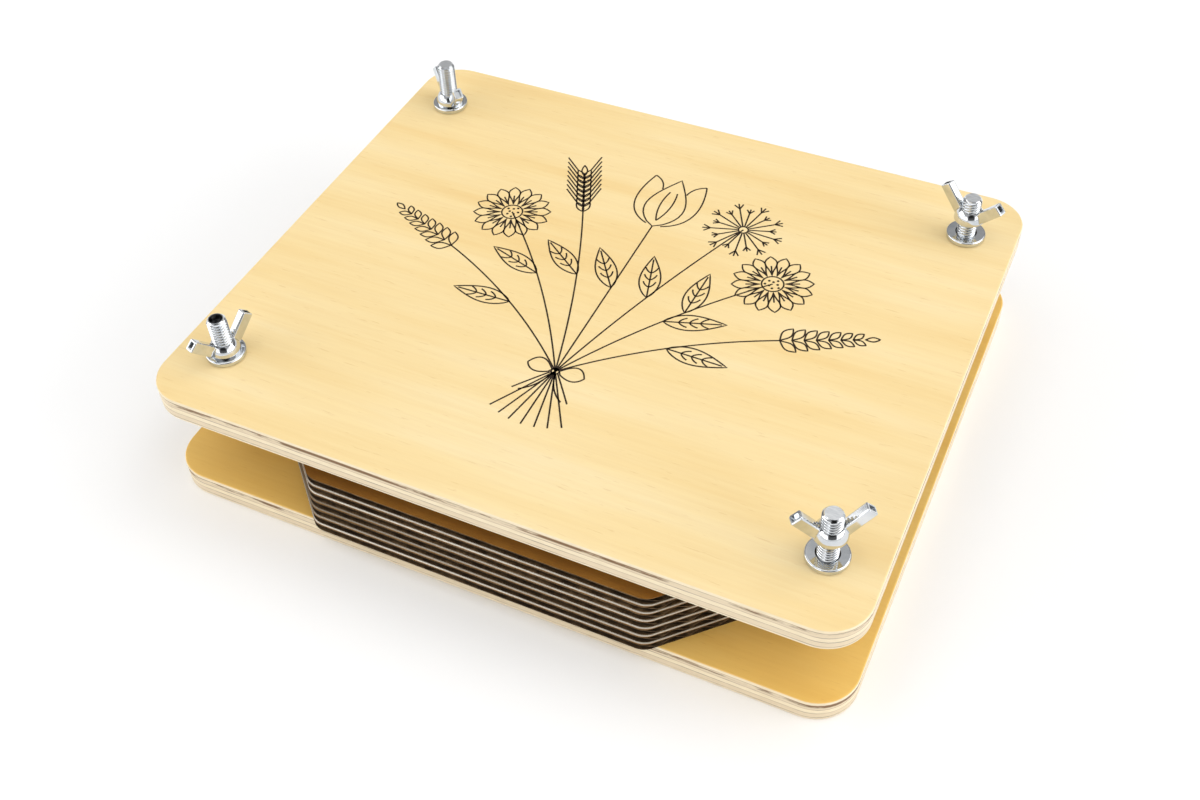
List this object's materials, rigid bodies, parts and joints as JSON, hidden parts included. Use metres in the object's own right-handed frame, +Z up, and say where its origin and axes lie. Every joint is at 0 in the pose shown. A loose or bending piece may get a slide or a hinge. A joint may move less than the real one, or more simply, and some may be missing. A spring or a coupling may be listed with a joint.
{
  "type": "flower press",
  "caption": "Flower press: plywood boards on corner bolts with wing nuts, clamping a stack of corrugated cards and blotting papers with cut corners.",
  "frame": {"origin": "centre of the bottom board's underside", "axes": "+Z up out of the top board, +X to the right along the longer side, -Y to the front edge that the picture shows"},
  "size_m": [0.215, 0.1822, 0.0604],
  "materials": {
    "plywood": "smooth sanded birch-faced plywood with a thin satin seal, plies bare at the edges",
    "zinc_steel": "bright zinc-plated steel, glossy with fine wear",
    "kraft_card": "brown kraft corrugated card, matt and fibrous",
    "blotting_paper": "off-white absorbent paper, matt"
  },
  "bodies": {
    "base": {"bottom_board": "plywood", "bolt_front_left": "zinc_steel", "bolt_front_right": "zinc_steel", "bolt_rear_left": "zinc_steel", "bolt_rear_right": "zinc_steel"},
    "top_board": {"top_board": "plywood", "washer_front_left": "zinc_steel", "washer_rear_left": "zinc_steel"},
    "washer_front_right": {"washer_front_right": "zinc_steel"},
    "washer_rear_right": {"washer_rear_right": "zinc_steel"},
    "wing_nut_front_left": {"wing_nut_front_left": "zinc_steel"},
    "wing_nut_front_right": {"wing_nut_front_right": "zinc_steel"},
    "wing_nut_rear_left": {"wing_nut_rear_left": "zinc_steel"},
    "wing_nut_rear_right": {"wing_nut_rear_right": "zinc_steel"},
    "card_1": {"card_1": "kraft_card"},
    "card_2": {"card_2": "kraft_card"},
    "card_3": {"card_3": "kraft_card"},
    "card_4": {"card_4": "kraft_card"},
    "card_5": {"card_5": "kraft_card"},
    "card_6": {"card_6": "kraft_card"},
    "card_7": {"card_7": "kraft_card"},
    "paper_1": {"paper_1": "blotting_paper"},
    "paper_2": {"paper_2": "blotting_paper"},
    "paper_3": {"paper_3": "blotting_paper"},
    "paper_4": {"paper_4": "blotting_paper"},
    "paper_5": {"paper_5": "blotting_paper"},
    "paper_6": {"paper_6": "blotting_paper"}
  },
  "joints": [
    {"name": "wing_nut_front_left_turn", "type": "hinge", "parent": "top_board", "child": "wing_nut_front_left", "pos_m": [-0.092, -0.0675, 0.0433], "axis": [0, 0, 1], "range_deg": [-1587, 2163]},
    {"name": "wing_nut_front_right_turn", "type": "hinge", "parent": "top_board", "child": "wing_nut_front_right", "pos_m": [0.092, -0.0675, 0.0508], "axis": [0, 0, 1], "range_deg": [-1587, 2163]},
    {"name": "wing_nut_rear_left_turn", "type": "hinge", "parent": "top_board", "child": "wing_nut_rear_left", "pos_m": [-0.092, 0.0675, 0.0433], "axis": [0, 0, 1], "range_deg": [-1587, 2163]},
    {"name": "wing_nut_rear_right_turn", "type": "hinge", "parent": "top_board", "child": "wing_nut_rear_right", "pos_m": [0.092, 0.0675, 0.0487], "axis": [0, 0, 1], "range_deg": [-1587, 2163]},
    {"name": "board_lift", "type": "slide", "parent": "base", "child": "top_board", "axis": [0, 0, 1], "range_m": [-0.0044, 0.006]},
    {"name": "washer_front_right_slide", "type": "slide", "parent": "top_board", "child": "washer_front_right", "axis": [0, 0, 1], "range_m": [0, 0.0074]},
    {"name": "washer_rear_right_slide", "type": "slide", "parent": "top_board", "child": "washer_rear_right", "axis": [0, 0, 1], "range_m": [0, 0.0053]},
    {"name": "card_1_slide", "type": "slide", "parent": "base", "child": "card_1", "axis": [0, 1, 0], "range_m": [-0.0108, 0.0152]},
    {"name": "card_2_slide", "type": "slide", "parent": "base", "child": "card_2", "axis": [0, 1, 0], "range_m": [-0.0112, 0.0148]},
    {"name": "card_3_slide", "type": "slide", "parent": "base", "child": "card_3", "axis": [0, 1, 0], "range_m": [-0.0115, 0.0145]},
    {"name": "card_4_slide", "type": "slide", "parent": "base", "child": "card_4", "axis": [0, 1, 0], "range_m": [-0.0119, 0.0141]},
    {"name": "card_5_slide", "type": "slide", "parent": "base", "child": "card_5", "axis": [0, 1, 0], "range_m": [-0.0123, 0.0137]},
    {"name": "card_6_slide", "type": "slide", "parent": "base", "child": "card_6", "axis": [0, 1, 0], "range_m": [-0.0126, 0.0134]},
    {"name": "card_7_slide", "type": "slide", "parent": "base", "child": "card_7", "axis": [0, 1, 0], "range_m": [-0.013, 0.013]},
    {"name": "paper_1_slide", "type": "slide", "parent": "base", "child": "paper_1", "axis": [0, 1, 0], "range_m": [-0.0108, 0.0149]},
    {"name": "paper_2_slide", "type": "slide", "parent": "base", "child": "paper_2", "axis": [0, 1, 0], "range_m": [-0.0112, 0.0145]},
    {"name": "paper_3_slide", "type": "slide", "parent": "base", "child": "paper_3", "axis": [0, 1, 0], "range_m": [-0.0116, 0.0141]},
    {"name": "paper_4_slide", "type": "slide", "parent": "base", "child": "paper_4", "axis": [0, 1, 0], "range_m": [-0.0119, 0.0138]},
    {"name": "paper_5_slide", "type": "slide", "parent": "base", "child": "paper_5", "axis": [0, 1, 0], "range_m": [-0.0123, 0.0134]},
    {"name": "paper_6_slide", "type": "slide", "parent": "base", "child": "paper_6", "axis": [0, 1, 0], "range_m": [-0.0127, 0.013]}
  ],
  "couplings": [
    {"joint": "wing_nut_front_left_turn", "follows": "board_lift", "rad_per_m": 6283.2},
    {"joint": "wing_nut_front_right_turn", "follows": "board_lift", "rad_per_m": 6283.2},
    {"joint": "wing_nut_rear_left_turn", "follows": "board_lift", "rad_per_m": 6283.2},
    {"joint": "wing_nut_rear_right_turn", "follows": "board_lift", "rad_per_m": 6283.2}
  ]
}
